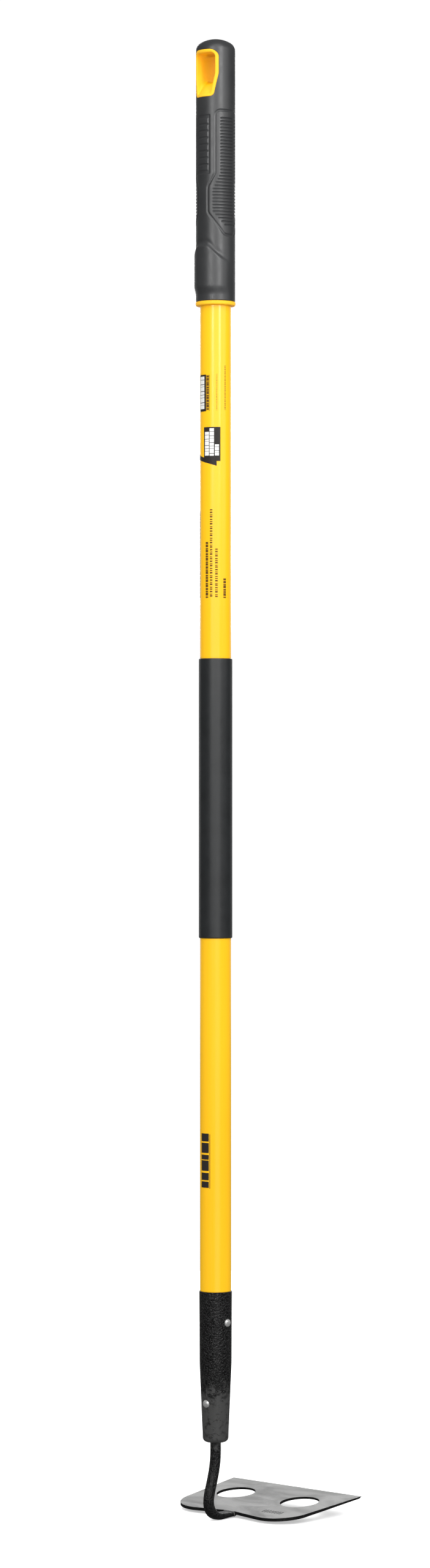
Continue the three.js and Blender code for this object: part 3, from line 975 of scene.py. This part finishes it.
def neck(material, rows=170, columns=40):
    """The round rod that leans back, bends and flattens into the blade's tongue."""
    line = resampled(neck_line(), rows)
    ways = np.gradient(line, axis=0)
    ways /= np.linalg.norm(ways, axis=1)[:, None]
    step = np.linalg.norm(line[1] - line[0])
    left = (len(line) - 1 - np.arange(len(line))) * step
    angles = all_round(columns)
    rings = []
    for (x, z), way, still in zip(line, ways, left):
        flat = float(smooth_step(TONGUE["length"], 0, still))
        half = ROD_RADIUS + (TONGUE["half"] - ROD_RADIUS) * flat
        depth = ROD_RADIUS + (TONGUE["thickness"] / 2 - ROD_RADIUS) * flat
        power = 2 / (2 + (TONGUE["corner"] - 2) * flat)
        side = half * np.sign(np.cos(angles)) * np.abs(np.cos(angles)) ** power
        up = depth * np.sign(np.sin(angles)) * np.abs(np.sin(angles)) ** power
        rings.append(np.column_stack([x - way[1] * up, side, z + way[0] * up]))
    tips = [(x, 0, z) for x, z in (line[0], line[-1])]
    mesh = mesh_of("neck", *capped(rings, tips))
    return add_piece(mesh, [material], ["gooseneck"])


def blade_outline():
    """The blade from above, as (forward, side): its notch, two lobes and straight edge."""
    lobe = (LOBE["forward"], LOBE["side"])
    notch = (BLADE["notch"], TONGUE["half"])
    corner = (BLADE["edge"], BLADE["edge_half"])
    outer = tangent_angle(corner, lobe, LOBE["radius"], 1)
    inner = tangent_angle(notch, lobe, LOBE["radius"], -1) % (2 * math.pi)
    round_end = arc(lobe, LOBE["radius"], np.linspace(outer, inner, 72))
    near_half = np.vstack([[corner], round_end, [notch]])
    return np.vstack([near_half, (near_half * (1, -1))[::-1]])


def plate_mesh():
    """The flat plate with its holes and eased edges, from a curve, WORK_HALF about z = 0."""
    curve = bpy.data.curves.new("blade_plate", "CURVE")
    curve.dimensions = "2D"
    curve.fill_mode = "BOTH"
    curve.extrude = WORK_HALF - PLATE["ease"]
    curve.bevel_depth = PLATE["ease"]
    curve.bevel_resolution = 3
    curve.offset = -PLATE["ease"]
    centres = [(HOLE["forward"], way * HOLE["side"]) for way in (-1, 1)]
    holes = [arc(centre, HOLE["radius"], all_round(96)) for centre in centres]
    for line in (blade_outline(), *holes):
        spline = curve.splines.new("POLY")
        spline.points.add(len(line) - 1)
        spline.points.foreach_set("co", np.column_stack([line, np.zeros_like(line)]).ravel())
        spline.use_cyclic_u = True
    holder = add_object("blade_curve", curve)
    graph = bpy.context.evaluated_depsgraph_get()
    mesh = bpy.data.meshes.new_from_object(holder.evaluated_get(graph))
    bpy.data.objects.remove(holder)
    bpy.data.curves.remove(curve)
    mesh.name = "blade_plate"
    mesh.materials.clear()
    return mesh


def blade(face_material, edge_material):
    """The ground plate: flat on top, thinner towards its edge, which is bevelled below."""
    mesh = plate_mesh()
    work = bmesh.new()
    work.from_mesh(mesh)
    bmesh.ops.remove_doubles(work, verts=work.verts, dist=MERGE)
    for forward in (PLATE["root_end"], BLADE["edge"] - PLATE["bevel"]):
        cut = [*work.verts, *work.edges, *work.faces]
        bmesh.ops.bisect_plane(work, geom=cut, plane_co=(forward, 0, 0), plane_no=(1, 0, 0))
    ends = [0, PLATE["root_end"], BLADE["edge"] - PLATE["bevel"], BLADE["edge"]]
    depths = [PLATE["root"], PLATE["root"], PLATE["tip"], PLATE["lip"]]
    for vert in work.verts:
        depth = np.interp(vert.co.x, ends, depths)
        below_top = WORK_HALF - vert.co.z
        if below_top > WORK_HALF:
            flattened = min(1, depth / (2 * PLATE["ease"]))
            below_top = depth - (WORK_HALF + vert.co.z) * flattened
        vert.co.z = -min(below_top, depth)
    bmesh.ops.recalc_face_normals(work, faces=work.faces)
    for face in work.faces:
        face.smooth = True
        face.material_index = 0 if face.normal.z > FACE_UP else 1
    points = on_blade([vert.co for vert in work.verts])
    for vert, point in zip(work.verts, points):
        vert.co = Vector(point) * MM
    work.to_mesh(mesh)
    work.free()
    return add_piece(mesh, [face_material, edge_material], ["blade"])


def stamp(material):
    """A row of plain marks, all alike, on the blade's top face."""
    length, width, height = STAMP["length"], STAMP["width"], STAMP["height"]
    low, high = STAMP["forward"] - length / 2, STAMP["forward"] + length / 2
    marks = []
    for i in range(STAMP["count"]):
        side = STAMP["side"] - i * STAMP["pitch"]
        ends = [(low, side), (high, side), (high, side - width), (low, side - width)]
        outline = rounded([(*end, STAMP["round"]) for end in ends], closed=True)
        points = np.column_stack([outline, np.full(len(outline), height)])
        marks.append((on_blade(points), [range(len(outline))]))
    mesh = mesh_of("stamp", *joined(marks))
    thicken(mesh, lambda centre: Vector((0, 0, 1)), 2 * height)
    return add_piece(mesh, [material])


def weld_bead(material, rows=90, columns=24):
    """The rippled bead that joins the tongue to the blade's notch."""
    tongue_end = BLADE["notch"] - SEAM["width"] - 2 * SEAM["gap"]
    middle = (BLADE["notch"] + tongue_end) / 2
    half = (BLADE["notch"] - tongue_end) / 2 + BEAD["overlap"]
    low, high = BEAD["root"] - TONGUE["thickness"], BEAD["crown"]
    angles = all_round(columns)
    rings = []
    for side in np.linspace(-1, 1, rows):
        fullness = (1 - abs(side) ** 10) ** 0.5
        ripple = 1 + BEAD["ripple"] * math.cos(side * BEAD["ripples"] * math.pi)
        forward = middle + half * (0.4 + 0.6 * fullness) * ripple * np.cos(angles)
        up = (low + high) / 2 + (high - low) / 2 * (0.7 + 0.3 * fullness) * ripple * np.sin(angles)
        rings.append(np.column_stack([forward, np.full(columns, side * BEAD["reach"]), up]))
    points, faces = capped(rings, [rings[0].mean(0), rings[-1].mean(0)])
    mesh = mesh_of("weld_bead", on_blade(points), faces)
    return add_piece(mesh, [material], ["weld_seam"])


def weld_toe(material):
    """The dark foot of the weld, a low wedge under the plate in front of the tongue."""
    notch, under = BLADE["notch"] - SEAM["gap"], -PLATE["root"] - TOE["gap"]
    ease = TOE["round"]
    section = rounded(
        [
            (notch, under, ease),
            (notch + TOE["length"], under, 0.1),
            (notch + TOE["length"], under - TOE["rise"], 0.15),
            (notch - SEAM["width"], 0.1 - TONGUE["thickness"], ease),
        ],
        closed=True,
    )
    middle = section.mean(0)
    half = TONGUE["half"]
    rings = []
    for side, scale in ((-half, TOE["end"]), (ease - half, 1), (half - ease, 1), (half, TOE["end"])):
        ring = middle + (section - middle) * scale
        rings.append(np.column_stack([ring[:, 0], np.full(len(ring), side), ring[:, 1]]))
    count, rows = len(section), len(rings)
    faces = grid_faces(rows, count)
    faces += [tuple(range(count)), tuple(range((rows - 1) * count, rows * count))]
    mesh = mesh_of("weld_toe", on_blade(np.vstack(rings)), faces)
    return add_piece(mesh, [material])


# ---- the tool -----------------------------------------------------------------------------

grip_rubber = soft_rubber("grip_rubber", (0.02, 0.021, 0.0225), (0.028, 0.029, 0.0305), 0.37, 0.45)
sleeve_rubber = soft_rubber("sleeve_rubber", (0.009, 0.0105, 0.0115), (0.014, 0.016, 0.0175), 0.32, 0.4)
plastic = moulded_yellow()
black = wrinkled_black()
steel = rivet_steel()
face_steel = ground_steel()

grip_skin(grip_rubber)
slot_liner(plastic)
end_flange(plastic)
shaft(yellow_glass_fibre())
lower_grip_sleeve(sleeve_rubber)
shaft_prints(
    ink("black_ink", (0.026, 0.022, 0.02), (0.045, 0.038, 0.032)),
    ink("brown_ink", (0.13, 0.06, 0.006), (0.34, 0.19, 0.008)),
    ink("white_ink", (0.78, 0.78, 0.76), (0.68, 0.675, 0.655)),
)
ferrule_shell(black)
rivet("ferrule_rivet", "upper_rivet", steel, **UPPER_RIVET)
rivet("tang_rivet", "lower_rivet", steel, **LOWER_RIVET)
neck(black)
scale = mill_scale()
blade(face_steel, scale)
weld_bead(weld_metal())
weld_toe(scale)
stamp(ink("stamped_grey", (0.008, 0.008, 0.0078), (0.03, 0.03, 0.0295)))

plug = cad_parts["tang_plug"]
plug.data.materials.clear()
plug.data.materials.append(turned_wood())

# ---- floor, light and camera --------------------------------------------------------------

# All in metres. The lens's focal length is given as a multiple of the picture's height.
FLOOR = {"front": 0.5, "back": 2.2, "half": 1.6}
VIEW_TURN = math.radians(48.0)
VIEW_DISTANCE = 4.3
VIEW_HEIGHT = -0.7526
VIEW_SIDESTEP = -0.0006
FOCUS = 2.65625
SENSOR = 36

away = Vector((math.sin(VIEW_TURN), math.cos(VIEW_TURN), 0))
right = Vector((math.cos(VIEW_TURN), -math.sin(VIEW_TURN), 0))


def pale_floor():
    """A plain floor under the tool and behind it, which throws no light back on it."""
    level = Vector((0, 0, cad_bounds[0].z))
    ends = ((-FLOOR["front"], -1), (-FLOOR["front"], 1), (FLOOR["back"], 1), (FLOOR["back"], -1))
    corners = [level + away * depth + right * FLOOR["half"] * side for depth, side in ends]
    mesh = bpy.data.meshes.new("floor")
    mesh.from_pydata(corners, [], [(3, 2, 1, 0)])
    look = Look("floor_white", Roughness=0.9, Specular_IOR_Level=0.1, Emission_Strength=0.45)
    look.paint(look.shaded(look.noise(400, 2), (0.9, 0.9, 0.9), (0.93, 0.93, 0.93)))
    mesh.materials.append(look.material)
    floor = add_object("floor", mesh)
    floor.visible_diffuse = False
    floor.visible_glossy = False


def soft_box(name, turn, distance, height, width, length, brightness, lift=0.0):
    """A rectangular light at an angle off the camera, aimed at the handle, level or lift lower."""
    light = bpy.data.lights.new(name, "AREA")
    light.shape = "RECTANGLE"
    light.size, light.size_y = width, length
    light.energy = brightness * math.pi * width * length
    angle = math.radians(turn)
    place = (-away * math.cos(angle) + right * math.sin(angle)) * distance + Vector((0, 0, height))
    aim = Vector((0, 0, height - lift)) - place
    holder = add_object(name, light)
    holder.location = place
    holder.rotation_euler = aim.to_track_quat("-Z", "Y").to_euler()
    holder.visible_camera = False


def white_surround(seen, level, above, mirrored):
    """A white world: pure white to the eye, softer as a light, and dimmer in reflections."""
    world = bpy.data.worlds.new("studio")
    world.use_nodes = True
    nodes, links = world.node_tree.nodes, world.node_tree.links

    def spread(value, low, high):
        node = nodes.new("ShaderNodeMapRange")
        links.new(value, node.inputs["Value"])
        for socket, end in ((node.inputs["To Min"], low), (node.inputs["To Max"], high)):
            if isinstance(end, bpy.types.NodeSocket):
                links.new(end, socket)
            else:
                socket.default_value = end
        return node.outputs["Result"]

    split = nodes.new("ShaderNodeSeparateXYZ")
    links.new(nodes.new("ShaderNodeTexCoord").outputs["Generated"], split.inputs["Vector"])
    path = nodes.new("ShaderNodeLightPath")
    soft = spread(split.outputs["Z"], level, above)
    shiny = spread(split.outputs["Z"], level * mirrored, above * mirrored)
    felt = spread(path.outputs["Is Glossy Ray"], soft, shiny)
    background = nodes["Background"]
    background.inputs["Color"].default_value = (1, 1, 1, 1)
    links.new(spread(path.outputs["Is Camera Ray"], felt, seen), background.inputs["Strength"])
    bpy.context.scene.world = world


def camera():
    """A long lens, level with the middle of the tool and square to its handle."""
    lens = bpy.data.cameras.new("camera")
    lens.sensor_fit = "VERTICAL"
    lens.sensor_height = SENSOR
    lens.lens = SENSOR * FOCUS
    lens.clip_end = 200
    holder = add_object("camera", lens)
    holder.location = -away * VIEW_DISTANCE + right * VIEW_SIDESTEP + Vector((0, 0, VIEW_HEIGHT))
    holder.rotation_euler = (math.pi / 2, 0, -VIEW_TURN)
    bpy.context.scene.camera = holder


pale_floor()
white_surround(seen=1.05, level=0.58, above=1.35, mirrored=0.125)
# Each light's turn, distance, height, width, length and brightness.
soft_box("front_panel", -4, 2.4, 0.1, 3.0, 2.0, 1.0)
soft_box("left_strip", -20, 2.2, 0.6, 0.15, 1.4, 17.0)
soft_box("right_strip", 32, 2.2, 0.6, 0.32, 1.4, 13.5)
soft_box("right_panel", 62, 2.4, 0.3, 1.5, 1.4, 1.0)
soft_box("low_panel", 14, 2.4, -1.45, 1.5, 0.9, 0.6)
soft_box("top_panel", 8, 1.5, 1.5, 1.6, 1.0, 1.6, lift=1.5)
soft_box("rear_left_strip", -166, 2.2, 0.3, 0.16, 1.6, 8.0)
soft_box("rear_right_strip", 168, 2.2, 0.3, 0.24, 1.6, 7.0)
soft_box("back_panel", 180, 2.6, -0.4, 5.6, 1.5, 0.5)
camera()
bpy.context.scene.view_settings.view_transform = "Standard"
